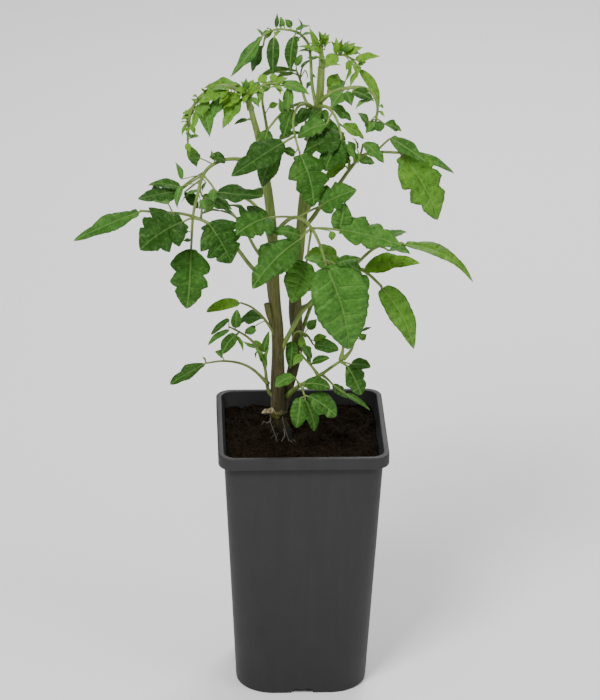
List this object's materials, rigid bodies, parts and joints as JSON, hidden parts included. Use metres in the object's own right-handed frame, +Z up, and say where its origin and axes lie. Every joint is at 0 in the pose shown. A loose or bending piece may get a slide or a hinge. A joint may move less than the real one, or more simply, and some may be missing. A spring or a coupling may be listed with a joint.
{
  "type": "potted tomato plant",
  "caption": "Young two-stemmed grafted tomato plant with compound lobed leaves, standing in soil in a deep square nursery pot.",
  "frame": {"origin": "middle of the pot's foot, on the surface that it stands on", "axes": "+Z up along the pot's axis and the stems, +Y away from the viewer, +X to the viewer's right, square to the pot's sides"},
  "size_m": [0.256, 0.1831, 0.4535],
  "materials": {
    "pot": "moulded anthracite plastic, satin on the rim",
    "soil": "dark moist potting compost with brown fibres",
    "stem": "ribbed hairy green stem, brown at the foot",
    "leaf": "soft mid green leaf with pale veins and a greyer underside"
  },
  "bodies": {
    "root": {"pot": "pot", "soil": "soil", "stems": "stem", "leaf_front": "leaf", "leaf_left_hanging": "leaf", "leaf_left_long": "leaf", "leaf_left_back": "leaf", "leaf_centre_upper": "leaf", "leaf_front_right": "leaf", "leaf_right_upper": "leaf", "leaf_right_arch": "leaf", "shoot_right_top": "leaf", "leaf_top_left": "leaf", "leaf_top_back": "leaf", "shoot_left_top": "leaf", "leaf_left_inner": "leaf", "leaf_stem_left_small": "leaf", "leaf_right_low": "leaf", "leaf_right_long": "leaf", "leaf_back_low": "leaf", "leaf_back_high": "leaf", "leaf_back_left": "leaf", "leaf_back_right": "leaf", "leaf_back_centre": "leaf", "shoot_left": "leaf", "leaf_left_low": "leaf", "shoot_right": "leaf", "leaf_low_behind": "leaf"}
  },
  "joints": []
}
